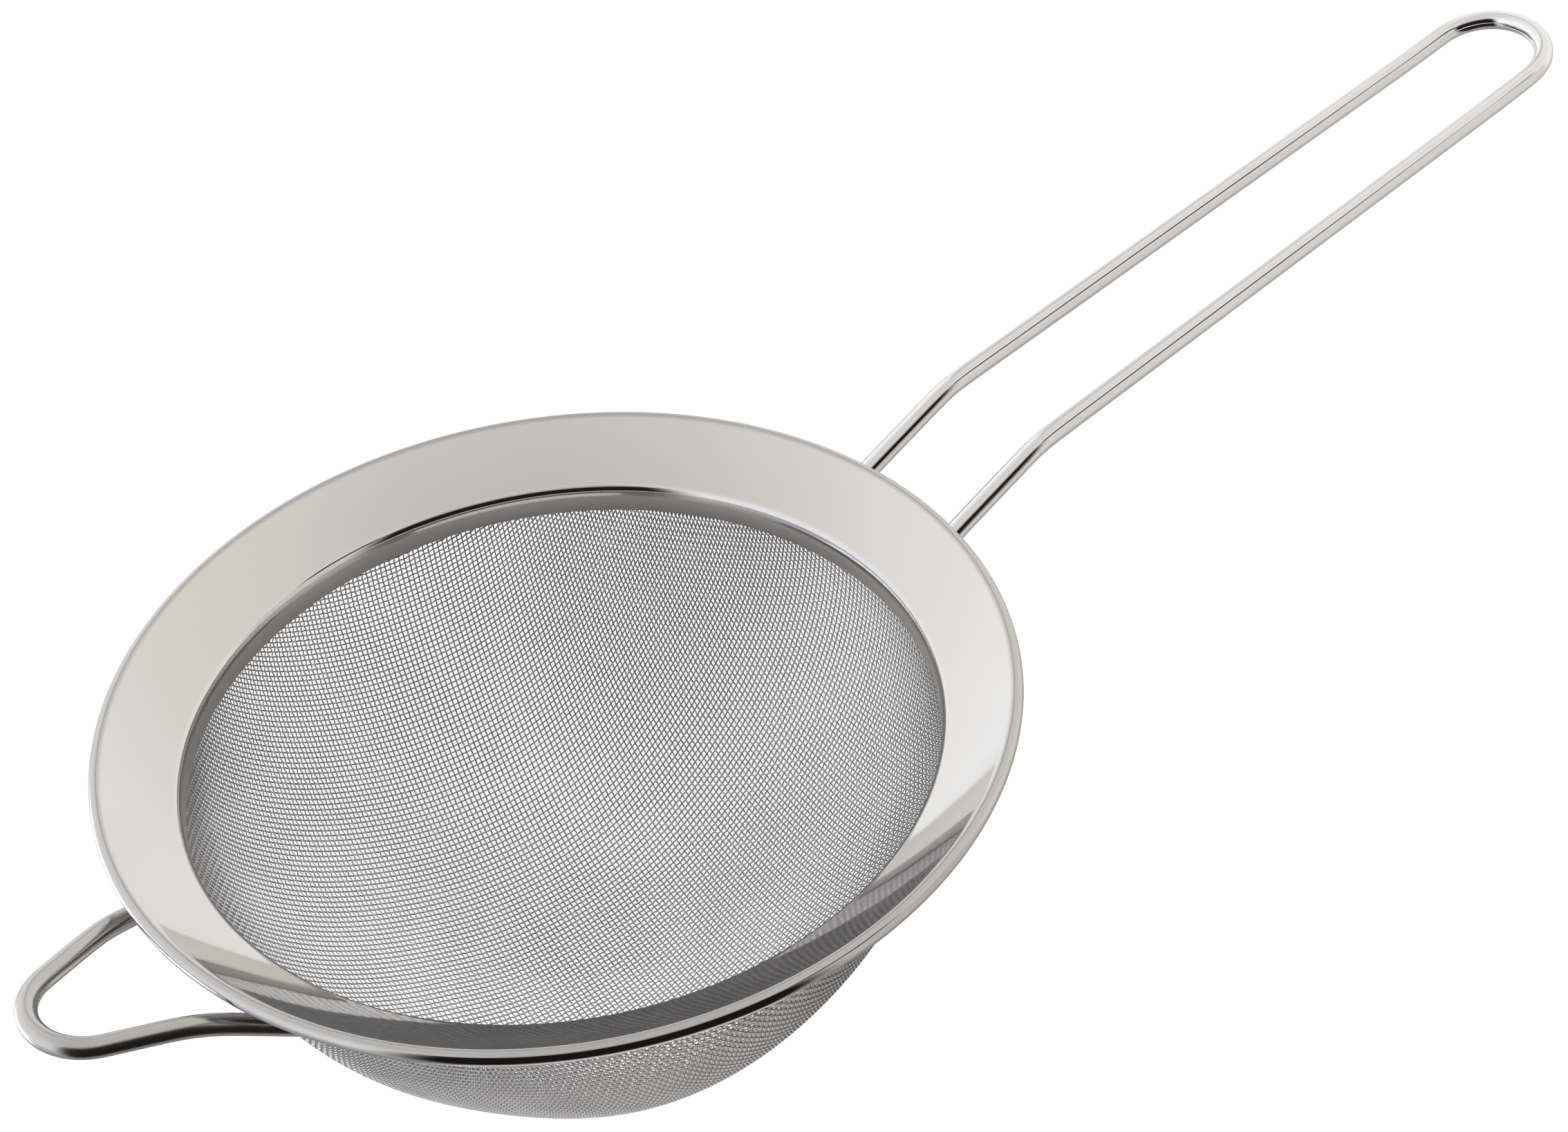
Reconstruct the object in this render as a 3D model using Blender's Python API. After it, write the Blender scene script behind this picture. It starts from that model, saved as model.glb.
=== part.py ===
"""Tea strainer: a wide dished steel rim with a rolled hem, a woven wire bowl
crimped behind the rim's neck by a clamp ring, a long loop handle of bent wire
and a short U-shaped rest hook opposite it, both welded to the clamp ring.

Blender 4.5, metres, +Z up. The origin is the centre of the rim, in the plane
of its widest circle. The handle points along +X and the rest hook along -X.
"""

import math

import bmesh
import bpy
from mathutils import Vector

MM = 0.001

# ------------------------------------------------------------------ dimensions (mm)
SEGMENTS = 60  # steps round every turned piece

RIM_R = 60.0  # widest radius of the rim, at z = 0
HEM_R = 1.0  # outer radius of the rolled hem
SHEET = 0.5  # thickness of the pressed rim sheet
NECK_TOP_R = 49.60  # inside radius of the neck where it meets the flange
NECK_BOTTOM_R = 49.35
NECK_BOTTOM_Z = -8.7
FLANGE_REF = (50.0, -5.5)  # a point of the flange's upper face, by the neck
NECK_FILLET = 1.0  # rounding between the flange and the neck
HEM_SWEEP = 280.0  # how far the hem curls round, in degrees

MESH_THICK = 0.6  # thickness of the closed skin that stands for the gauze
MESH_IN_R = 50.35  # inside radius of the gauze skirt behind the neck
MESH_TOP_Z = -6.7
MESH_SKIRT_Z = -9.1  # where the skirt ends and the bowl begins
MESH_BOTTOM_Z = -53.4  # lowest point of the gauze, outside
MESH_ROWS = 11

RING_IN_R = 51.25
RING_OUT_R = 52.05
RING_TOP_Z = -5.75
RING_BOTTOM_Z = -9.5

WIRE_R = 1.4  # handle and hook are bent from the same wire
WELD_THICK = 0.8
WELD_WIDE = 2.6

HANDLE_Y = 9.2  # half spacing of the handle wires at the rim
HANDLE_END_Y = 8.45  # half spacing at the loop end
HANDLE_BEND_X = 76.5
HANDLE_END_X = 186.4
HOOK_TIP_X = -77.2
HOOK_TIP_R = 7.6  # bend radius of the hook's round end
ROOT_R = 54.35  # how near the wires' ends come to the axis

STEEL_MIRROR = (0.80, 0.79, 0.77, 0.10)  # linear colour and roughness
STEEL_SATIN = (0.62, 0.61, 0.60, 0.28)
STEEL_WIRE = (0.78, 0.77, 0.76, 0.16)
STEEL_GAUZE = (0.60, 0.60, 0.60, 0.32)
STEEL_WELD = (0.45, 0.43, 0.42, 0.45)


# ------------------------------------------------------------------ scene and helpers
for old in list(bpy.data.objects):
    bpy.data.objects.remove(old, do_unlink=True)


def steel(name, finish):
    red, green, blue, rough = finish
    mat = bpy.data.materials.new(name)
    mat.use_nodes = True
    shader = mat.node_tree.nodes["Principled BSDF"]
    shader.inputs["Base Color"].default_value = (red, green, blue, 1.0)
    shader.inputs["Metallic"].default_value = 1.0
    shader.inputs["Roughness"].default_value = rough
    return mat


def add(name, mesh, mat):
    obj = bpy.data.objects.new(name, mesh)
    bpy.context.scene.collection.objects.link(obj)
    mesh.materials.append(mat)
    mesh.shade_smooth()
    mesh.set_sharp_from_angle(angle=math.radians(40))
    return obj


def turned(name, outline, mat):
    """A closed outline of (radius, z) points in mm, spun round the Z axis."""
    bm = bmesh.new()
    verts = [bm.verts.new((r * MM, 0.0, z * MM)) for r, z in outline]
    edges = []
    for a, b in zip(verts, verts[1:] + verts[:1]):
        if a.co.x > 1e-7 or b.co.x > 1e-7:
            edges.append(bm.edges.new((a, b)))
    bmesh.ops.spin(
        bm, geom=verts + edges, cent=(0, 0, 0), axis=(0, 0, 1),
        angle=math.tau, steps=SEGMENTS, use_merge=True,
    )
    bmesh.ops.remove_doubles(bm, verts=bm.verts, dist=1e-7)
    bmesh.ops.dissolve_degenerate(bm, dist=1e-7, edges=bm.edges)
    loose = [v for v in bm.verts if not v.link_faces]
    bmesh.ops.delete(bm, geom=loose, context="VERTS")
    bmesh.ops.recalc_face_normals(bm, faces=bm.faces)
    if bm.calc_volume(signed=True) < 0:
        bmesh.ops.reverse_faces(bm, faces=bm.faces)
    mesh = bpy.data.meshes.new(name)
    bm.to_mesh(mesh)
    bm.free()
    return add(name, mesh, mat)


def arc(centre, radius, start, sweep, steps):
    """Points of an arc in the (radius, z) plane, angles in degrees."""
    points = []
    for i in range(steps + 1):
        a = math.radians(start + sweep * i / steps)
        points.append((centre[0] + radius * math.cos(a), centre[1] + radius * math.sin(a)))
    return points


def bent(route, radii, step):
    """A smooth plan route: straight runs with a round bend at each inner point."""
    pts = [Vector((x, y)) for x, y in route]
    out = [pts[0]]
    for i in range(1, len(pts) - 1):
        into = (pts[i] - pts[i - 1]).normalized()
        away = (pts[i + 1] - pts[i]).normalized()
        turn = into.angle_signed(away)
        reach = radii[i - 1] * math.tan(abs(turn) / 2)
        first = pts[i] - into * reach
        side = Vector((-into.y, into.x)) * (-1 if turn > 0 else 1)
        centre = first + side * radii[i - 1]
        count = max(2, math.ceil(radii[i - 1] * abs(turn) / step))
        spoke = first - centre
        for k in range(count + 1):
            a = -turn * k / count
            out.append(centre + Vector((
                spoke.x * math.cos(a) - spoke.y * math.sin(a),
                spoke.x * math.sin(a) + spoke.y * math.cos(a),
            )))
    out.append(pts[-1])
    filled = [out[0]]
    for a, b in zip(out, out[1:]):
        count = max(1, math.ceil((b - a).length / (step * 2.2)))
        for k in range(1, count + 1):
            filled.append(a.lerp(b, k / count))
    clean = [filled[0]]
    for p in filled[1:]:
        if (p - clean[-1]).length > 0.25:
            clean.append(p)
    return clean


def lower_of(values, soft):
    """The smallest of several heights, with the corner between them rounded."""
    low = min(values)
    return low - soft * math.log(sum(math.exp(-(v - low) / soft) for v in values))


def wire(name, plan, height, mat):
    curve = bpy.data.curves.new(name, "CURVE")
    curve.dimensions = "3D"
    curve.bevel_depth = WIRE_R * MM
    curve.bevel_resolution = 3
    curve.use_fill_caps = True
    curve.twist_mode = "MINIMUM"
    spline = curve.splines.new("POLY")
    spline.points.add(len(plan) - 1)
    for point, p in zip(spline.points, plan):
        point.co = (p.x * MM, p.y * MM, height(p.x) * MM, 1.0)
    obj = bpy.data.objects.new(name, curve)
    bpy.context.scene.collection.objects.link(obj)
    curve.materials.append(mat)
    for s in curve.splines:
        s.use_smooth = True
    return obj


def weld(name, x, y, z, mat):
    """A flattened round weld nugget between a wire's end and the clamp ring."""
    bm = bmesh.new()
    bmesh.ops.create_uvsphere(bm, u_segments=12, v_segments=6, radius=0.5 * MM)
    bmesh.ops.scale(bm, vec=(WELD_WIDE, WELD_WIDE, WELD_THICK), verts=bm.verts)
    mesh = bpy.data.meshes.new(name)
    bm.to_mesh(mesh)
    bm.free()
    obj = add(name, mesh, mat)
    around = math.atan2(y, x)
    mid = RING_OUT_R + 0.3 + WELD_THICK / 2
    obj.location = (mid * math.cos(around) * MM, mid * math.sin(around) * MM, z * MM)
    obj.rotation_euler = (0.0, math.pi / 2, around)
    return obj


mirror_steel = steel("steel_mirror", STEEL_MIRROR)
satin_steel = steel("steel_satin", STEEL_SATIN)
wire_steel = steel("steel_wire", STEEL_WIRE)
gauze_steel = steel("steel_gauze", STEEL_GAUZE)
weld_steel = steel("steel_weld", STEEL_WELD)


# ------------------------------------------------------------------ rim: neck, dished flange and rolled hem
hem_centre = (RIM_R - HEM_R, 0.0)
reach = (hem_centre[0] - FLANGE_REF[0], hem_centre[1] - FLANGE_REF[1])
span = math.hypot(*reach)
slope = math.atan2(reach[1], reach[0]) + math.asin(HEM_R / span)  # the flange touches the hem's circle
tangent = math.degrees(slope) + 90.0

neck = (NECK_TOP_R - NECK_BOTTOM_R, FLANGE_REF[1] - NECK_BOTTOM_Z)
neck_angle = math.atan2(neck[1], neck[0])
corner_r = NECK_TOP_R
corner_z = FLANGE_REF[1] + (corner_r - FLANGE_REF[0]) * math.tan(slope)
turn = neck_angle - slope
back = NECK_FILLET * math.tan(turn / 2)
fillet_from = (corner_r - back * math.cos(neck_angle), corner_z - back * math.sin(neck_angle))
fillet_centre = (
    fillet_from[0] + NECK_FILLET * math.sin(neck_angle),
    fillet_from[1] - NECK_FILLET * math.cos(neck_angle),
)
fillet_start = math.degrees(neck_angle) + 90.0
fillet_sweep = -math.degrees(turn)

# the sheet's visible face runs up the neck, over the fillet, out along the flange and round the hem,
# and its other face runs back one sheet thickness behind it
face = [(NECK_BOTTOM_R, NECK_BOTTOM_Z)]
face += arc(fillet_centre, NECK_FILLET, fillet_start, fillet_sweep, 3)
face += arc(hem_centre, HEM_R, tangent, -HEM_SWEEP, 13)
behind = arc(hem_centre, HEM_R - SHEET, tangent - HEM_SWEEP, HEM_SWEEP, 9)
behind += arc(fillet_centre, NECK_FILLET - SHEET, fillet_start + fillet_sweep, -fillet_sweep, 2)
behind += [(
    NECK_BOTTOM_R + SHEET * math.sin(neck_angle),
    NECK_BOTTOM_Z - SHEET * math.cos(neck_angle),
)]
turned("rim_flange", face + behind, mirror_steel)


# ------------------------------------------------------------------ gauze bowl and the ring that clamps its edge
def bowl(radius_top, z_top, z_bottom, rows):
    """A near-hemispherical wall from the skirt down to the axis, as (radius, z)."""
    points = []
    for i in range(rows + 1):
        t = math.sin(0.5 * math.pi * i / rows)
        r = radius_top * max(0.0, 1.0 - t * t) ** (1 / 1.85)
        points.append((r if i < rows else 0.0, z_top + (z_bottom - z_top) * t))
    return points


outside = [(MESH_IN_R + MESH_THICK, MESH_TOP_Z)]
outside += bowl(MESH_IN_R + MESH_THICK, MESH_SKIRT_Z, MESH_BOTTOM_Z, MESH_ROWS)
inside = bowl(MESH_IN_R, MESH_SKIRT_Z, MESH_BOTTOM_Z + MESH_THICK, MESH_ROWS)[::-1]
inside += [(MESH_IN_R, MESH_TOP_Z)]
turned("mesh_basket", outside + inside, gauze_steel)

turned("mesh_clamp_ring", [
    (RING_IN_R, RING_BOTTOM_Z),
    (RING_OUT_R, RING_BOTTOM_Z),
    (RING_OUT_R, RING_TOP_Z),
    (RING_IN_R, RING_TOP_Z),
], satin_steel)


# ------------------------------------------------------------------ loop handle
def handle_z(x):
    under_rim = -3.55 + 0.60 * (x - 58.0)
    rise = -2.80 + 0.390 * (x - 60.0)
    grip = 3.65 + 0.1094 * (x - HANDLE_BEND_X)
    return lower_of((under_rim, rise, grip), 0.30)


handle_root_x = math.sqrt(ROOT_R**2 - HANDLE_Y**2)
half = [(handle_root_x, HANDLE_Y), (HANDLE_BEND_X, HANDLE_Y), (HANDLE_END_X, HANDLE_END_Y)]
route = half + [(x, -y) for x, y in reversed(half)]
handle_plan = bent(route, [60.0, HANDLE_END_Y - 0.05, HANDLE_END_Y - 0.05, 60.0], 1.7)
wire("handle_wire", handle_plan, handle_z, wire_steel)


# ------------------------------------------------------------------ rest hook
def hook_z(x):
    leg = -5.60 - 0.50 * (x + 58.0)
    level = -1.43 - 0.15 * (x - HOOK_TIP_X)
    return lower_of((leg, level), 0.45)


hook_half = [(-53.0, 14.2), (-58.0, 12.1), (HOOK_TIP_X, 5.45)]
hook_route = hook_half + [(x, -y) for x, y in reversed(hook_half)]
hook_plan = bent(hook_route, [25.0, HOOK_TIP_R, HOOK_TIP_R, 25.0], 1.6)
wire("rest_hook", hook_plan, hook_z, wire_steel)


# ------------------------------------------------------------------ weld nuggets
weld("handle_weld_left", handle_root_x, HANDLE_Y, handle_z(handle_root_x), weld_steel)
weld("handle_weld_right", handle_root_x, -HANDLE_Y, handle_z(handle_root_x), weld_steel)
weld("hook_weld_left", hook_half[0][0], hook_half[0][1], hook_z(hook_half[0][0]), weld_steel)
weld("hook_weld_right", hook_half[0][0], -hook_half[0][1], hook_z(hook_half[0][0]), weld_steel)
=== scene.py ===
"""Looks for the tea strainer: a polished rim with a rolled hem, a real plain-woven
wire bowl, a crimp ring, a loop handle, a rest hook and their welds."""

import math
import bmesh
import bpy
import numpy as np
from mathutils import Matrix, Vector


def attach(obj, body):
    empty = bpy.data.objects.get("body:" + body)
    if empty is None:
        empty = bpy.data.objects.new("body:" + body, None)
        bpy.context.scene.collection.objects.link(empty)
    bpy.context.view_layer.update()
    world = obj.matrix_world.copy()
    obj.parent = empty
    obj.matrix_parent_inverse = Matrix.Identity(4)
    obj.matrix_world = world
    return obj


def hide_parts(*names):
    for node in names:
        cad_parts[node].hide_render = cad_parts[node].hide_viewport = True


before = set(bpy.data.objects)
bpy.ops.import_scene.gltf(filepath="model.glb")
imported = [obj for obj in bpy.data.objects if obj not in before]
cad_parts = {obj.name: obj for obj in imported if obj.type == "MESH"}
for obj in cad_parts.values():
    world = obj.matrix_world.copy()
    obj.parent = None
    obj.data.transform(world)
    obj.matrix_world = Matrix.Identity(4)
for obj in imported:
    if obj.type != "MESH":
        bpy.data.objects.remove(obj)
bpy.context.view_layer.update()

MM = 0.001


# ------------------------------------------------------------------ camera
def look(az, el):
    """A unit vector at an azimuth and elevation in degrees."""
    a, e = math.radians(az), math.radians(el)
    return Vector((math.cos(a) * math.cos(e), math.sin(a) * math.cos(e), math.sin(e)))


right = Vector((0.765125, -0.638048, -0.086476))
back = Vector((-0.443376, -0.619481, 0.647813))
up = back.cross(right).normalized()
cam_data = bpy.data.cameras.new("camera")
cam_data.sensor_fit = "HORIZONTAL"
cam_data.sensor_width = 36.0
cam_data.lens = 72.0
cam_data.clip_start = 0.01
cam_data.clip_end = 50.0
camera = bpy.data.objects.new("camera", cam_data)
pose = Matrix((
    (right.x, up.x, back.x, -0.147722),
    (right.y, up.y, back.y, -0.259961),
    (right.z, up.z, back.z, 0.271459),
    (0.0, 0.0, 0.0, 1.0),
))
camera.matrix_world = pose
bpy.context.scene.collection.objects.link(camera)
bpy.context.scene.camera = camera
CAM_AZ = -119.6  # azimuth of the camera, seen from the strainer

bpy.context.scene.view_settings.view_transform = "Standard"
bpy.context.scene.view_settings.look = "None"


# ------------------------------------------------------------------ studio: world, light and floor
class Nodes:
    """Small helper for building node trees."""

    def __init__(self, tree):
        self.tree = tree
        tree.nodes.clear()

    def new(self, kind, **values):
        node = self.tree.nodes.new(kind)
        for key, value in values.items():
            if key.startswith("in_"):
                slot = key[3:]
                slot = int(slot) if slot.isdigit() else slot.replace("_", " ")
                node.inputs[slot].default_value = value
            else:
                setattr(node, key, value)
        return node

    def link(self, a, b):
        self.tree.links.new(a, b)

    def math(self, op, a, b=None, c=None, clamp=False):
        node = self.tree.nodes.new("ShaderNodeMath")
        node.operation = op
        node.use_clamp = clamp
        for i, v in enumerate((a, b, c)):
            if v is None:
                continue
            if isinstance(v, (int, float)):
                node.inputs[i].default_value = v
            else:
                self.link(v, node.inputs[i])
        return node.outputs[0]

    def dot(self, vec, fixed):
        node = self.tree.nodes.new("ShaderNodeVectorMath")
        node.operation = "DOT_PRODUCT"
        self.link(vec, node.inputs[0])
        node.inputs[1].default_value = tuple(fixed)
        return node.outputs["Value"]

    def smooth(self, value, low, high):
        """0 at low and 1 at high, with a soft step between."""
        node = self.tree.nodes.new("ShaderNodeMapRange")
        node.interpolation_type = "SMOOTHSTEP"
        self.link(value, node.inputs["Value"])
        node.inputs["From Min"].default_value = low
        node.inputs["From Max"].default_value = high
        return node.outputs["Result"]

    def mix(self, factor, a, b):
        node = self.tree.nodes.new("ShaderNodeMix")
        node.data_type = "RGBA"
        for slot, v in ((0, factor), (6, a), (7, b)):
            if isinstance(v, (int, float)):
                node.inputs[slot].default_value = v
            elif isinstance(v, tuple):
                node.inputs[slot].default_value = (*v, 1.0)
            else:
                self.link(v, node.inputs[slot])
        return node.outputs[2]

    def ramp(self, factor, stops):
        node = self.tree.nodes.new("ShaderNodeValToRGB")
        ramp = node.color_ramp
        while len(ramp.elements) < len(stops):
            ramp.elements.new(0.5)
        for element, (place, colour) in zip(ramp.elements, stops):
            element.position = place
            element.color = (*colour, 1.0)
        self.link(factor, node.inputs[0])
        return node.outputs[0]


def card(t, direction, under, colour, az, el, soft=(6, 6), amount=1.0):
    """A soft-edged card of one colour in the surroundings: az and el are ranges in degrees, az round the camera's."""
    middle = (az[0] + az[1]) / 2
    centre = look(CAM_AZ + middle, 0)
    side = look(CAM_AZ + middle + 90, 0)
    a = t.math("ARCTAN2", t.dot(direction, side), t.dot(direction, centre))
    half = (az[1] - az[0]) / 2
    in_az = t.smooth(t.math("ABSOLUTE", a), math.radians(half + soft[0]), math.radians(half - soft[0]))
    e = t.math("ARCSINE", t.dot(direction, (0, 0, 1)))
    low = t.smooth(e, math.radians(el[0] - soft[1]), math.radians(el[0] + soft[1]))
    high = t.smooth(e, math.radians(el[1] + soft[1]), math.radians(el[1] - soft[1]))
    shape = t.math("MULTIPLY", in_az, t.math("MULTIPLY", low, high))
    if amount != 1.0:
        shape = t.math("MULTIPLY", shape, amount)
    return t.mix(shape, under, colour)


world = bpy.data.worlds.new("studio")
bpy.context.scene.world = world
world.use_nodes = True
t = Nodes(world.node_tree)
direction = t.new("ShaderNodeTexCoord").outputs["Generated"]
height = t.math("MULTIPLY_ADD", t.dot(direction, (0, 0, 1)), 0.5, 0.5)


def level(degrees):
    return 0.5 + 0.5 * math.sin(math.radians(degrees))


cool = t.ramp(height, [
    (0.0, (0.31, 0.30, 0.295)), (level(-62), (0.34, 0.33, 0.33)), (level(-34), (0.56, 0.56, 0.57)), (level(-9), (0.80, 0.80, 0.82)),
    (level(4), (1.03, 1.04, 1.06)), (level(18), (1.0, 1.0, 1.0)), (level(43), (0.90, 0.885, 0.87)),
    (level(57), (0.79, 0.765, 0.74)), (level(76), (0.69, 0.66, 0.635)), (1.0, (0.66, 0.63, 0.60)),
])
warm = t.ramp(height, [
    (0.0, (0.31, 0.295, 0.28)), (level(-62), (0.34, 0.32, 0.305)), (level(-34), (0.55, 0.53, 0.505)), (level(-20), (0.62, 0.59, 0.55)), (level(-9), (0.85, 0.82, 0.78)),
    (level(4), (0.90, 0.87, 0.83)), (level(18), (0.93, 0.90, 0.86)), (level(43), (0.84, 0.80, 0.755)),
    (level(57), (0.80, 0.765, 0.72)), (level(76), (0.70, 0.665, 0.63)), (1.0, (0.66, 0.63, 0.60)),
])
leftness = t.smooth(t.dot(direction, look(CAM_AZ - 90, 0)), -0.55, 0.55)
sky = t.mix(leftness, warm, cool)
# what stands round the table: dim gap over the camera, cards beside it, a strip behind, and a low bright box far left
sky = card(t, direction, sky, (0.55, 0.52, 0.49), (-40, 40), (30, 62), (12, 7), 0.85)
sky = card(t, direction, sky, (0.66, 0.64, 0.615), (50, 90), (-30, 36), (8, 8), 0.9)
sky = card(t, direction, sky, (0.95, 0.965, 1.05), (-114, -62), (-10, 34), (9, 7), 0.9)
sky = card(t, direction, sky, (0.46, 0.44, 0.42), (118, 154), (-56, -26), (8, 8), 0.8)
sky = card(t, direction, sky, (0.57, 0.56, 0.55), (172, 188), (12, 66), (5, 5), 0.9)
sky = card(t, direction, sky, (0.82, 0.82, 0.84), (-176, -138), (-40, -2), (5, 6), 1.0)
sky = card(t, direction, sky, (1.70, 1.73, 1.80), (-138, -92), (-38, -2), (5, 6), 1.0)
sky = card(t, direction, sky, (0.04, 0.038, 0.036), (46, 76), (39.5, 50.5), (5, 2), 1.0)
sky = card(t, direction, sky, (0.014, 0.012, 0.012), (-46, 46), (-57, 46), (9, 8), 1.0)
lighting = t.new("ShaderNodeBackground")
t.link(sky, lighting.inputs["Color"])
lighting.inputs["Strength"].default_value = 1.0
plain = t.new("ShaderNodeBackground")
plain.inputs["Color"].default_value = (1, 1, 1, 1)
plain.inputs["Strength"].default_value = 1.0
choose = t.new("ShaderNodeMixShader")
t.link(t.new("ShaderNodeLightPath").outputs["Is Camera Ray"], choose.inputs[0])
t.link(lighting.outputs[0], choose.inputs[1])
t.link(plain.outputs[0], choose.inputs[2])
t.link(choose.outputs[0], t.new("ShaderNodeOutputWorld").inputs["Surface"])


def area_light(name, az, el, distance, size, power, colour):
    data = bpy.data.lights.new(name, "AREA")
    data.shape = "RECTANGLE"
    data.size, data.size_y = size
    data.energy = power
    data.color = colour
    obj = bpy.data.objects.new(name, data)
    place = look(CAM_AZ + az, el) * distance
    obj.matrix_world = Matrix.Translation(place) @ place.to_track_quat("Z", "Y").to_matrix().to_4x4()
    obj.visible_camera = False
    bpy.context.scene.collection.objects.link(obj)
    return obj


top_light = area_light("soft_top", -60, 80, 1.5, (1.6, 1.6), 6.0, (1.0, 0.99, 0.97))
top_light.visible_glossy = False

floor_data = bpy.data.meshes.new("floor")
FLOOR_Z = -0.0562
floor_data.from_pydata(
    [(-6, -6, FLOOR_Z), (6, -6, FLOOR_Z), (6, 6, FLOOR_Z), (-6, 6, FLOOR_Z)], [], [(0, 1, 2, 3)]
)
floor = bpy.data.objects.new("floor", floor_data)
bpy.context.scene.collection.objects.link(floor)


def glow(name, colour, shade=None):
    """A pale matt surface that is lit evenly; shade is (x, y, radius, soft, colour) for a painted shadow under the
    bowl, a dimmer disc in the floor's glow.
    """
    mat = bpy.data.materials.new(name)
    mat.use_nodes = True
    n = Nodes(mat.node_tree)
    shader = n.new("ShaderNodeBsdfPrincipled")
    n.link(shader.outputs[0], n.new("ShaderNodeOutputMaterial").inputs["Surface"])
    shader.inputs["Roughness"].default_value = 0.9
    shader.inputs["Specular IOR Level"].default_value = 0.0
    shader.inputs["Base Color"].default_value = (0.02, 0.02, 0.02, 1)
    shader.inputs["Emission Color"].default_value = (*colour, 1)
    shader.inputs["Emission Strength"].default_value = 1.0
    # painted shadow: the floor's glow is dimmed in a soft disc under and behind the bowl
    if shade:
        x, y, radius, soft, dim = shade
        away = n.new("ShaderNodeVectorMath", operation="DISTANCE")
        n.link(n.new("ShaderNodeTexCoord").outputs["Object"], away.inputs[0])
        away.inputs[1].default_value = (x, y, FLOOR_Z)
        n.link(n.mix(n.smooth(away.outputs["Value"], radius - soft, radius + soft), dim, colour),
               shader.inputs["Emission Color"])
    return mat


# the floor glows evenly white, with a painted shadow disc under the bowl
floor_data.materials.append(glow("floor_white_painted_shadow", (1.02, 1.02, 1.02), (0.0247, 0.0435, 0.047, 0.021, (0.895, 0.90, 0.915))))
floor.visible_glossy = False


def floor_card(name, centre, along, across, turn, colour):
    """An oval of card on the floor that only shows in the steel: a pale one to the front, and a dark one behind the
    bowl that is a painted shadow of the bowl on the floor.
    """
    c, k = math.cos(math.radians(turn)), math.sin(math.radians(turn))
    data = bpy.data.meshes.new(name)
    rim = [(along * math.cos(a), across * math.sin(a)) for a in (math.tau * i / 48 for i in range(48))]
    data.from_pydata([(centre[0] + u * c - v * k, centre[1] + u * k + v * c, FLOOR_Z + 0.0004) for u, v in rim],
                     [], [tuple(range(48))])
    data.materials.append(glow(name + "_paper", colour))
    obj = bpy.data.objects.new(name, data)
    obj.visible_camera = False
    bpy.context.scene.collection.objects.link(obj)


floor_card("bounce_card", (-0.022, -0.040), 0.036, 0.036, 0, (0.80, 0.785, 0.77))
# painted shadow: a dark oval behind the bowl that only the steel reflects, standing in for the bowl's shadow on the
# floor
floor_card("painted_shadow_card", (0.0741, 0.1305), 0.147, 0.072, 60.4, (0.04, 0.04, 0.046))


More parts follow.
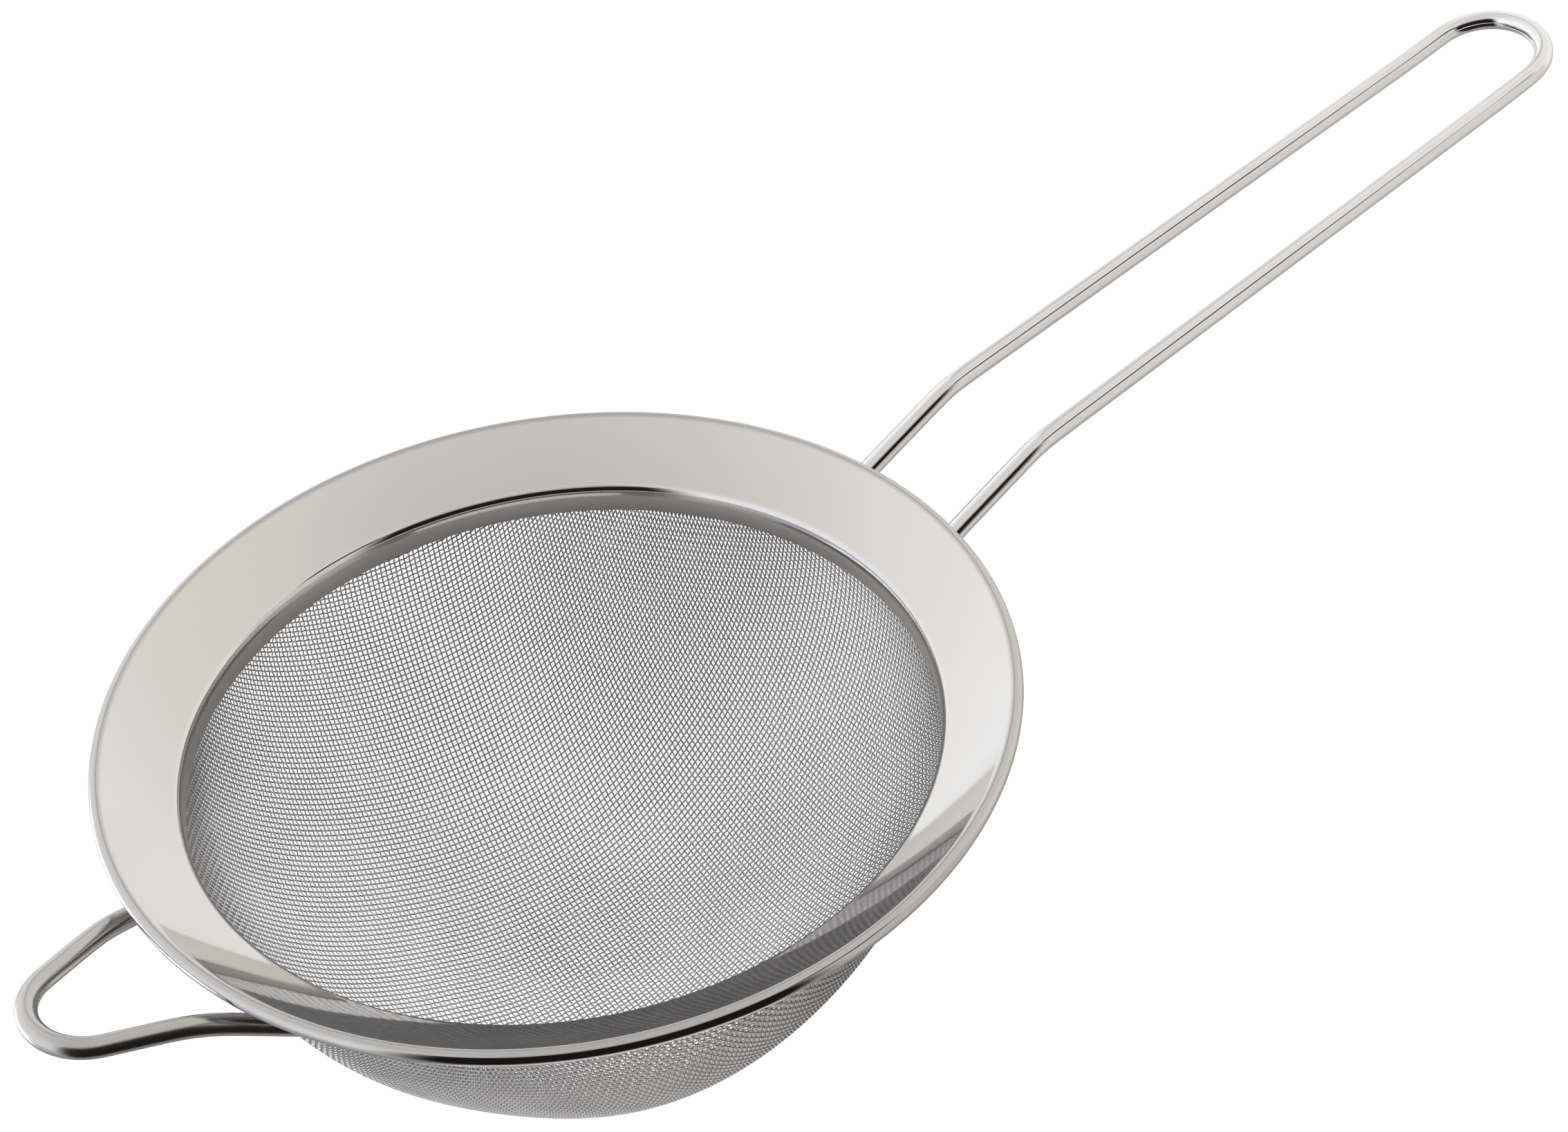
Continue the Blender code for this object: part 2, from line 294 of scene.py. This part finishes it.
# ------------------------------------------------------------------ materials
def steel(name, tint, rough, rough_spread=0.03, grain=900.0, stretch=(1, 1, 1), bump=0.0, stain=0.03,
          stain_scale=60.0, darker=None, satin_below=None, wave=0.0, darken_past_radius=None):
    """Stainless steel: slight patchy tone, fine polishing grain in the roughness, and an optional bump."""
    mat = bpy.data.materials.new(name)
    mat.use_nodes = True
    n = Nodes(mat.node_tree)
    shader = n.new("ShaderNodeBsdfPrincipled")
    out = n.new("ShaderNodeOutputMaterial")
    n.link(shader.outputs[0], out.inputs["Surface"])
    shader.inputs["Metallic"].default_value = 1.0
    place = n.new("ShaderNodeTexCoord").outputs["Object"]
    squeeze = n.new("ShaderNodeMapping")
    n.link(place, squeeze.inputs["Vector"])
    squeeze.inputs["Scale"].default_value = stretch
    fine = n.new("ShaderNodeTexNoise")
    n.link(squeeze.outputs[0], fine.inputs["Vector"])
    fine.inputs["Scale"].default_value = grain
    fine.inputs["Detail"].default_value = 3.0
    fine.inputs["Roughness"].default_value = 0.6
    patch = n.new("ShaderNodeTexNoise")
    n.link(place, patch.inputs["Vector"])
    patch.inputs["Scale"].default_value = stain_scale
    patch.inputs["Detail"].default_value = 2.0
    tone = n.smooth(patch.outputs[0], 0.35, 0.70)
    low = darker or tuple(c * (1.0 - stain * 2) for c in tint)
    colour = n.mix(tone, low, tint)
    # colour 21% darker on the rim past this radius, over the rolled hem; roughness stays the same
    if darken_past_radius is not None:
        flat = n.new("ShaderNodeVectorMath")
        flat.operation = "MULTIPLY"
        n.link(place, flat.inputs[0])
        flat.inputs[1].default_value = (1.0, 1.0, 0.0)
        out_by = n.new("ShaderNodeVectorMath")
        out_by.operation = "LENGTH"
        n.link(flat.outputs[0], out_by.inputs[0])
        rolled = n.smooth(out_by.outputs["Value"], darken_past_radius - 0.0001, darken_past_radius + 0.0003)
        colour = n.mix(rolled, colour, tuple(c * 0.79 for c in tint))
    if satin_below is not None:
        apart = n.new("ShaderNodeSeparateXYZ")
        n.link(place, apart.inputs[0])
        zone = n.smooth(apart.outputs[2], satin_below + 0.0003, satin_below - 0.0003)
        colour = n.mix(zone, colour, (tint[0] * 1.07, tint[1] * 1.01, tint[2] * 0.99))
    n.link(colour, shader.inputs["Base Color"])
    rough_value = n.math("MULTIPLY_ADD", n.math("SUBTRACT", fine.outputs[0], 0.5), rough_spread * 2, rough, clamp=True)
    if satin_below is not None:
        rough_value = n.math("MULTIPLY_ADD", zone, 0.40, rough_value, clamp=True)
    n.link(rough_value, shader.inputs["Roughness"])
    if wave:
        swell = n.new("ShaderNodeTexNoise")
        n.link(place, swell.inputs["Vector"])
        swell.inputs["Scale"].default_value = 75.0
        swell.inputs["Detail"].default_value = 1.0
        ripple = n.new("ShaderNodeBump")
        ripple.inputs["Strength"].default_value = wave
        ripple.inputs["Distance"].default_value = 0.00008
        n.link(swell.outputs[0], ripple.inputs["Height"])
        n.link(ripple.outputs[0], shader.inputs["Normal"])
    if bump:
        knob = n.new("ShaderNodeBump")
        knob.inputs["Strength"].default_value = bump
        knob.inputs["Distance"].default_value = 0.00005
        n.link(fine.outputs[0], knob.inputs["Height"])
        n.link(knob.outputs[0], shader.inputs["Normal"])
    return mat


mirror_steel = steel("steel_mirror_polished", (0.80, 0.788, 0.775), 0.05, 0.02, grain=1400.0, stain=0.01,
                     stain_scale=40.0, satin_below=-0.0062, wave=0.7, darken_past_radius=0.0584)
satin_steel = steel("steel_satin_ring", (0.66, 0.64, 0.62), 0.26, 0.07, grain=420.0, stretch=(1, 1, 14), bump=0.25, stain=0.05)
wire_steel = steel("steel_wire_polished", (0.955, 0.965, 0.985), 0.038, 0.010, grain=700.0, stretch=(0.12, 1, 1), stain=0.015)
# the hook's wire: a darker, rougher copy of the handle's wire steel
hook_steel = steel("steel_wire_darker_rougher", (0.66, 0.645, 0.63), 0.24, 0.04, grain=700.0, stretch=(0.3, 1, 1), stain=0.03)
gauze_steel = steel("steel_gauze_wire", (0.64, 0.64, 0.645), 0.22, 0.05, grain=260.0, stain=0.05, stain_scale=120.0)
weld_steel = steel("steel_weld_tinted", (0.55, 0.52, 0.48), 0.36, 0.10, grain=1500.0, bump=0.5, stain=0.1,
                   stain_scale=500.0, darker=(0.42, 0.36, 0.33))


# ------------------------------------------------------------------ mesh helpers
def finish_piece(obj, mat, nodes, sharp=None):
    obj.data.materials.clear()
    obj.data.materials.append(mat)
    obj.data.shade_smooth()
    if sharp:
        obj.data.set_sharp_from_angle(angle=math.radians(sharp))
    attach(obj, "root")
    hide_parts(*nodes)
    return obj


def link_mesh(name, mesh):
    obj = bpy.data.objects.new(name, mesh)
    bpy.context.scene.collection.objects.link(obj)
    return obj


def arc(centre, radius, start, sweep, steps):
    points = []
    for i in range(steps + 1):
        a = math.radians(start + sweep * i / steps)
        points.append((centre[0] + radius * math.cos(a), centre[1] + radius * math.sin(a)))
    return points


def lathe(name, outline, segments=360, wobble=None):
    """Spin a closed outline of (radius, z) in mm round Z into a closed skin."""
    pts = np.array(outline, float)
    ang = np.linspace(0, math.tau, segments, endpoint=False)
    r, z = pts[:, 0][None, :], pts[:, 1][None, :]
    if wobble:
        r, z = wobble(ang[:, None], r, z)
    x = np.cos(ang)[:, None] * r
    y = np.sin(ang)[:, None] * r
    verts = np.stack([x, y, np.broadcast_to(z, x.shape)], -1).reshape(-1, 3) * MM
    m = len(pts)
    i = np.arange(segments)[:, None]
    j = np.arange(m)[None, :]
    i2, j2 = (i + 1) % segments, (j + 1) % m
    quads = np.stack([i * m + j, i2 * m + j, i2 * m + j2, i * m + j2], -1).reshape(-1, 4)
    return quad_mesh(name, verts, quads)


def quad_mesh(name, verts, quads, extra=()):
    """A mesh from arrays of vertices and quads, with extra faces of any size."""
    mesh = bpy.data.meshes.new(name)
    mesh.vertices.add(len(verts))
    mesh.vertices.foreach_set("co", np.ascontiguousarray(verts, np.float32).ravel())
    loops = [quads.ravel()] + [np.asarray(f) for f in extra]
    flat = np.concatenate(loops).astype(np.int32)
    sizes = np.concatenate([np.full(len(quads), 4), np.array([len(f) for f in extra], int)]).astype(np.int32)
    starts = np.concatenate([[0], np.cumsum(sizes)[:-1]]).astype(np.int32)
    mesh.loops.add(len(flat))
    mesh.loops.foreach_set("vertex_index", flat)
    mesh.polygons.add(len(sizes))
    mesh.polygons.foreach_set("loop_start", starts)
    mesh.polygons.foreach_set("loop_total", sizes)
    mesh.update(calc_edges=True)
    mesh.validate()
    return mesh


def outward(mesh):
    bm = bmesh.new()
    bm.from_mesh(mesh)
    bmesh.ops.recalc_face_normals(bm, faces=bm.faces)
    if bm.calc_volume(signed=True) < 0:
        bmesh.ops.reverse_faces(bm, faces=bm.faces)
    bm.to_mesh(mesh)
    bm.free()
    return mesh


def tubes(name, lines, normals, radius, sides, squash=None):
    """Round wires along polylines. Each ring is set out from the line's own surface normal."""
    all_verts, all_quads, caps, base = [], [], [], 0
    ang = np.linspace(0, math.tau, sides, endpoint=False)
    for k, (line, normal) in enumerate(zip(lines, normals)):
        m = len(line)
        tangent = np.gradient(line, axis=0)
        tangent /= np.linalg.norm(tangent, axis=1)[:, None]
        side = np.cross(tangent, normal)
        side /= np.linalg.norm(side, axis=1)[:, None]
        lift = np.cross(side, tangent)
        rad = radius if squash is None else squash[k][:, None, None]
        ring = (
            line[:, None, :]
            + rad * (np.cos(ang)[None, :, None] * lift[:, None, :] + np.sin(ang)[None, :, None] * side[:, None, :])
        )
        all_verts.append(ring.reshape(-1, 3))
        i = np.arange(m - 1)[:, None]
        j = np.arange(sides)[None, :]
        j2 = (j + 1) % sides
        quads = np.stack([i * sides + j, (i + 1) * sides + j, (i + 1) * sides + j2, i * sides + j2], -1)
        all_quads.append(quads.reshape(-1, 4) + base)
        caps.append(base + np.arange(sides))
        caps.append(base + (m - 1) * sides + np.arange(sides)[::-1])
        base += m * sides
    return quad_mesh(name, np.concatenate(all_verts) * MM, np.concatenate(all_quads), caps)


# ------------------------------------------------------------------ rim
SHEET = 0.5
HEM_R = 1.0
HEM = (59.0, 0.0)
TILT_IN, TILT_OUT = 29.5, 37.0  # the flange is dished: its slope grows outward, then it rolls straight into the hem
hem_start = math.radians(90 + TILT_OUT)
join = (HEM[0] + HEM_R * math.cos(hem_start), HEM[1] + HEM_R * math.sin(hem_start))
flange, (fr, fz) = [join], join
DISH_STEPS = 24
while len(flange) <= DISH_STEPS:
    run = (join[0] - 50.2) / DISH_STEPS
    tilt = TILT_OUT + (TILT_IN - TILT_OUT) * (len(flange) - 0.5) / DISH_STEPS
    fr, fz = fr - run, fz - run * math.tan(math.radians(tilt))
    flange.append((fr, fz))
flange.reverse()
neck_bottom = (49.36, -8.7)
neck_angle = math.radians(85.4)
FILLET = 1.6
tilt_in = math.radians(TILT_IN)
turn = neck_angle - tilt_in
first = flange[0]
fillet_mid = (first[0] + FILLET * math.sin(tilt_in), first[1] - FILLET * math.cos(tilt_in))
face = [neck_bottom]
face += arc(fillet_mid, FILLET, math.degrees(neck_angle) + 90, -math.degrees(turn), 12)[:-1]
face += flange[:-1]
face += arc(HEM, HEM_R, 90 + TILT_OUT, -292, 34)


def offset(path, distance):
    """The same path, moved to its right by a distance."""
    pts = np.array(path, float)
    d = np.gradient(pts, axis=0)
    d /= np.linalg.norm(d, axis=1)[:, None]
    return [tuple(p) for p in pts + distance * np.stack([d[:, 1], -d[:, 0]], -1)]


behind = offset(face, SHEET)[::-1]
lip = arc(((face[0][0] + behind[-1][0]) / 2, face[0][1]), SHEET / 2, 0, -180, 6)[1:-1]
rim_mesh = outward(lathe("rim", face + behind + lip))
rim = finish_piece(link_mesh("rim_pressed_sheet", rim_mesh), mirror_steel, ["rim_flange"], sharp=50)


# ------------------------------------------------------------------ crimp ring
ring_outline = []
ring_outline += arc((51.85, -5.95), 0.2, 90, -90, 4)
ring_outline += arc((51.70, -9.15), 0.35, 0, -90, 6)
ring_outline += arc((50.75, -9.30), 0.20, -90, -90, 4)
ring_outline += arc((50.75, -9.05), 0.20, 180, -90, 4)
ring_outline += [(51.10, -8.80), (51.30, -8.45)]
ring_outline += arc((51.45, -5.95), 0.2, 180, -90, 4)
ring = finish_piece(
    link_mesh("mesh_crimp_ring", outward(lathe("ring", ring_outline))), satin_steel,
    ["mesh_clamp_ring"], sharp=50,
)


# ------------------------------------------------------------------ woven gauze bowl
BOWL_R, BOWL_TOP, BOWL_LOW = 50.2, -9.1, -54.6
PITCH = (0.779, 0.751)  # warp and weft, crossing to crossing
STRAND = 0.109  # radius of one gauze wire
WEAVE_TURN = 1.405
WEAVE_SKEW = 0.094
LEAN = (-0.69, 2.08)  # how far the bowl's lowest point has been pushed off the axis in pressing


def by_direction(around, base, cos2, sin2, cos4):
    """The pressed cloth gives more on its bias, so the bowl's fullness changes with direction."""
    fold = 4 * (around - WEAVE_TURN)
    value = base + cos2 * np.cos(2 * around) + sin2 * np.sin(2 * around) + cos4 * np.cos(fold)
    change = -2 * cos2 * np.sin(2 * around) + 2 * sin2 * np.cos(2 * around) - 4 * cos4 * np.sin(fold)
    return value, change


def fullness(around, rho):
    """The curve's power in plan, evened out close to the lowest point, where all directions meet."""
    value, change = by_direction(around, 2.314, -0.063, 0.683, -0.197)
    near = np.clip(rho / 0.42, 0, 1)
    keep, slope = near**2 * (3 - 2 * near), 6 * near * (1 - near) / 0.42
    return 2.314 + (value - 2.314) * keep, change * keep, (value - 2.314) * slope


def wall(around):
    return by_direction(around, 1.539, 0.107, -0.314, 0.209)


def bowl_level(p):
    """The bowl's surface is where this is zero, with its gradient."""
    deep = BOWL_TOP - BOWL_LOW
    drop = np.maximum((BOWL_TOP - p[..., 2]) / deep, 1e-9)
    x, y = p[..., 0] - LEAN[0] * drop, p[..., 1] - LEAN[1] * drop
    r = np.hypot(x, y) + 1e-9
    around = np.arctan2(y, x)
    (full, d_full, d_rho), (side, d_side) = fullness(around, r / BOWL_R), wall(around)
    a, b = (r / BOWL_R) ** full, drop**side
    to_r = (full * (r / BOWL_R) ** (full - 1) + a * np.log(r / BOWL_R) * d_rho) / BOWL_R
    to_turn = a * np.log(r / BOWL_R) * d_full + b * np.log(drop) * d_side
    to_drop = side * drop ** (side - 1)
    gx = to_r * x / r - to_turn * y / r**2
    gy = to_r * y / r + to_turn * x / r**2
    gz = (to_drop - gx * LEAN[0] - gy * LEAN[1]) * np.where(drop > 1e-8, -1 / deep, 0)
    return a + b - 1, np.stack([gx, gy, gz], -1)


def meridian(azimuth, count, pitch):
    """Points one pitch apart from the bowl's lowest point up a straight wire."""
    rho = np.sin(np.linspace(0, np.pi / 2, 4000))
    full, side = fullness(np.array(azimuth), rho)[0], wall(np.array(azimuth))[0]
    r, u = BOWL_R * rho, np.maximum(0, 1 - rho**full) ** (1 / side)
    line = np.stack([
        r * math.cos(azimuth) + LEAN[0] * u, r * math.sin(azimuth) + LEAN[1] * u, BOWL_TOP + (BOWL_LOW - BOWL_TOP) * u,
    ], -1)
    line = np.vstack([line, line[-1] + (0, 0, 60)])
    along = np.r_[0, np.cumsum(np.linalg.norm(np.diff(line, axis=0), axis=1))]
    want = np.arange(count + 1) * pitch
    return np.stack([np.interp(want, along, line[:, k]) for k in range(3)], -1)


def quarter(first, second, count, pitch_a, pitch_b):
    """Drape a quarter of the cloth: every crossing is one pitch from its two neighbours, on the bowl."""
    net = np.full((count + 1, count + 1, 3), np.nan)
    net[:, 0], net[0, :] = first, second
    for s in range(2, 2 * count + 1):
        i = np.arange(max(1, s - count), min(count, s - 1) + 1)
        j = s - i
        a, b = net[i - 1, j], net[i, j - 1]
        p = a + b - net[i - 1, j - 1]
        good = np.isfinite(p).all(-1)
        if not good.any():
            continue
        i, j, a, b, p = i[good], j[good], a[good], b[good], p[good]
        lost = np.zeros(len(p), bool)
        for _ in range(7):
            value, grad = bowl_level(p)
            da, db = p - a, p - b
            miss = np.stack([value, (da**2).sum(-1) - pitch_a**2, (db**2).sum(-1) - pitch_b**2], -1)
            jac = np.stack([grad, 2 * da, 2 * db], -2)
            flat = np.abs(np.linalg.det(jac)) < 1e-9
            jac = np.where(flat[:, None, None], np.eye(3), jac)
            lost |= flat
            p = p - np.clip(np.linalg.solve(jac, miss[..., None])[..., 0], -1, 1)
        lost |= ~(np.abs(bowl_level(p)[0]) < 1e-3) | (p[:, 2] > BOWL_TOP + 6)
        net[i, j] = np.where(lost[:, None], np.nan, p)
    return net


count = int(78 / min(PITCH))
spokes = [meridian(WEAVE_TURN + k * math.pi / 2 + WEAVE_SKEW * (k % 2), count, PITCH[k % 2]) for k in range(4)]
cloth = np.full((2 * count + 1, 2 * count + 1, 3), np.nan)
for k in range(4):
    q = quarter(spokes[k], spokes[(k + 1) % 4], count, PITCH[k % 2], PITCH[(k + 1) % 2])
    i, j = np.meshgrid(np.arange(count + 1), np.arange(count + 1), indexing="ij")
    a, b = ((i, j), (-j, i), (-i, -j), (j, -i))[k]
    cloth[count + a, count + b] = q
_, outward_dir = bowl_level(np.nan_to_num(cloth, nan=1.0))
outward_dir /= np.linalg.norm(outward_dir, axis=-1)[..., None]
index = np.arange(2 * count + 1)
over = np.where((index[:, None] + index[None, :]) % 2 == 0, 1.0, -1.0)
inside_bowl = np.isfinite(cloth).all(-1) & (cloth[..., 2] < -6.7)


def strands(points, normal, keep, lift):
    """One family of wires as smooth polylines that pass over and under the other family."""
    lines, ways = [], []
    for row in range(points.shape[0]):
        ok = np.flatnonzero(keep[row])
        if len(ok) < 6:
            continue
        breaks = np.flatnonzero(np.diff(ok) > 1)
        for run in np.split(ok, breaks + 1):
            if len(run) < 6:
                continue
            p, n, s = points[row, run], normal[row, run], lift[row, run]
            m = len(run)
            line = np.empty((2 * m - 1, 3))
            way = np.empty((2 * m - 1, 3))
            line[0::2] = p + n * (s * STRAND)[:, None]
            way[0::2] = n
            line[1::2] = (p[1:] + p[:-1]) / 2
            way[1::2] = n[1:] + n[:-1]
            way /= np.linalg.norm(way, axis=1)[:, None]
            lines.append(line)
            ways.append(way)
    return lines, ways


SIDES = 6
MOST = 190000
for family, grid in (
    ("warp", (cloth, outward_dir, inside_bowl, over)),
    ("weft", (cloth.transpose(1, 0, 2), outward_dir.transpose(1, 0, 2), inside_bowl.T, -over.T)),
):
    lines, ways = strands(*grid)
    part, group, total = 1, ([], []), 0
    for line, way in list(zip(lines, ways)) + [(None, None)]:
        cost = 0 if line is None else (len(line) - 1) * SIDES * 2 + 2 * SIDES
        if line is None or total + cost > MOST:
            piece = link_mesh(f"gauze_{family}_{part}", tubes(f"gauze_{family}_{part}", *group, STRAND, SIDES))
            finish_piece(piece, gauze_steel, ["mesh_basket"])
            part, group, total = part + 1, ([], []), 0
        if line is not None:
            group[0].append(line)
            group[1].append(way)
            total += cost


# ------------------------------------------------------------------ bent wires
WIRE_R = 1.39


def bent(route, radii, step):
    """A plan route of straight runs with a round bend at each inner point, sampled evenly."""
    pts = [Vector(p) for p in route]
    out = [pts[0]]
    for i in range(1, len(pts) - 1):
        into = (pts[i] - pts[i - 1]).normalized()
        away = (pts[i + 1] - pts[i]).normalized()
        angle = into.angle_signed(away)
        reach = radii[i - 1] * math.tan(abs(angle) / 2)
        first = pts[i] - into * reach
        side = Vector((-into.y, into.x)) * (-1 if angle > 0 else 1)
        centre = first + side * radii[i - 1]
        spoke = first - centre
        for k in range(25):
            a = -angle * k / 24
            out.append(centre + Vector((
                spoke.x * math.cos(a) - spoke.y * math.sin(a),
                spoke.x * math.sin(a) + spoke.y * math.cos(a),
            )))
    out.append(pts[-1])
    xy = np.array([tuple(p) for p in out])
    keep = np.r_[True, np.hypot(*np.diff(xy, axis=0).T) > 1e-4]
    xy = xy[keep]
    along = np.r_[0, np.cumsum(np.hypot(*np.diff(xy, axis=0).T))]
    want = np.linspace(0, along[-1], int(along[-1] / step) + 1)
    return np.stack([np.interp(want, along, xy[:, 0]), np.interp(want, along, xy[:, 1])], -1)


def lower_of(values, soft):
    stack = np.stack(values)
    low = stack.min(0)
    return low - soft * np.log(np.exp(-(stack - low) / soft).sum(0))


def smoothed(line, times):
    for _ in range(times):
        line[1:-1] = 0.25 * line[:-2] + 0.5 * line[1:-1] + 0.25 * line[2:]
    return line


def bent_wire(name, plan, height, node, mat):
    line = np.concatenate([plan, height(plan[:, 0])[:, None]], 1)
    line = smoothed(line, 6)
    up_way = np.tile((0.0, 0.0, 1.0), (len(line), 1))
    mesh = tubes(name, [line], [up_way], WIRE_R, 48)
    return finish_piece(link_mesh(name, outward(mesh)), mat, [node], sharp=60)


def handle_height(x):
    under_rim = -3.55 + 0.60 * (x - 58.0)
    rise = -2.80 + 0.390 * (x - 60.0)
    grip = 3.65 + 0.1094 * (x - 76.5) + 0.0019 * np.maximum(0, x - 168.0) ** 2
    return lower_of((under_rim, rise, grip), 0.25)


def hook_height(x):
    return lower_of((-5.60 - 0.50 * (x + 58.0), -1.43 - 0.15 * (x + 77.2)), 0.45)


handle_half = [(51.6, 9.2), (76.5, 9.2), (186.4, 8.45)]
handle_plan = bent(handle_half + [(x, -y) for x, y in reversed(handle_half)], [60.0, 8.40, 8.40, 60.0], 0.5)
bent_wire("handle_bent_wire", handle_plan, handle_height, "handle_wire", wire_steel)
hook_half = [(-50.6, 15.1), (-58.0, 12.1), (-77.2, 5.45)]
hook_plan = bent(hook_half + [(x, -y) for x, y in reversed(hook_half)], [25.0, 7.6, 7.6, 25.0], 0.4)
bent_wire("rest_hook_wire", hook_plan, hook_height, "rest_hook", hook_steel)


# ------------------------------------------------------------------ weld nuggets
def weld(name, x, y, z, node, seed):
    """A lumpy bead that flows from the end of a wire onto the ring's wall."""
    bm = bmesh.new()
    bmesh.ops.create_icosphere(bm, subdivisions=4, radius=1.0)
    around = math.atan2(y, x)
    turn = Matrix.Rotation(around, 4, "Z")
    for v in bm.verts:
        p = v.co.copy()
        ripple = 1.0 + 0.05 * math.sin(5 * p.y + seed) * math.cos(4 * p.z - seed) + 0.03 * math.sin(11 * p.z + 7 * p.y)
        flare = 1.0 + 0.55 * max(0.0, -p.x)
        q = Vector((p.x * 1.15, p.y * 1.95 * ripple * flare * 0.80, p.z * 1.75 * ripple * flare * 0.80))
        v.co = (turn @ q + Vector((52.75 * math.cos(around), 52.75 * math.sin(around), z))) * MM
    mesh = bpy.data.meshes.new(name)
    bm.to_mesh(mesh)
    bm.free()
    return finish_piece(link_mesh(name, outward(mesh)), weld_steel, [node])


def crossing(plan, height):
    """Where a wire's plan meets the ring's outer wall."""
    r = np.hypot(plan[:, 0], plan[:, 1])
    k = int(np.argmin(np.abs(r - 52.6)[: len(r) // 4]))
    return plan[k, 0], plan[k, 1], float(height(plan[k : k + 1, 0])[0])


hx, hy, hz = crossing(handle_plan, handle_height)
rx, ry, rz = crossing(hook_plan, hook_height)
weld("handle_weld_a", hx, hy, hz, "handle_weld_left", 0.4)
weld("handle_weld_b", hx, -hy, hz, "handle_weld_right", 1.9)
weld("hook_weld_a", rx, ry, rz, "hook_weld_left", 3.1)
weld("hook_weld_b", rx, -ry, rz, "hook_weld_right", 4.6)
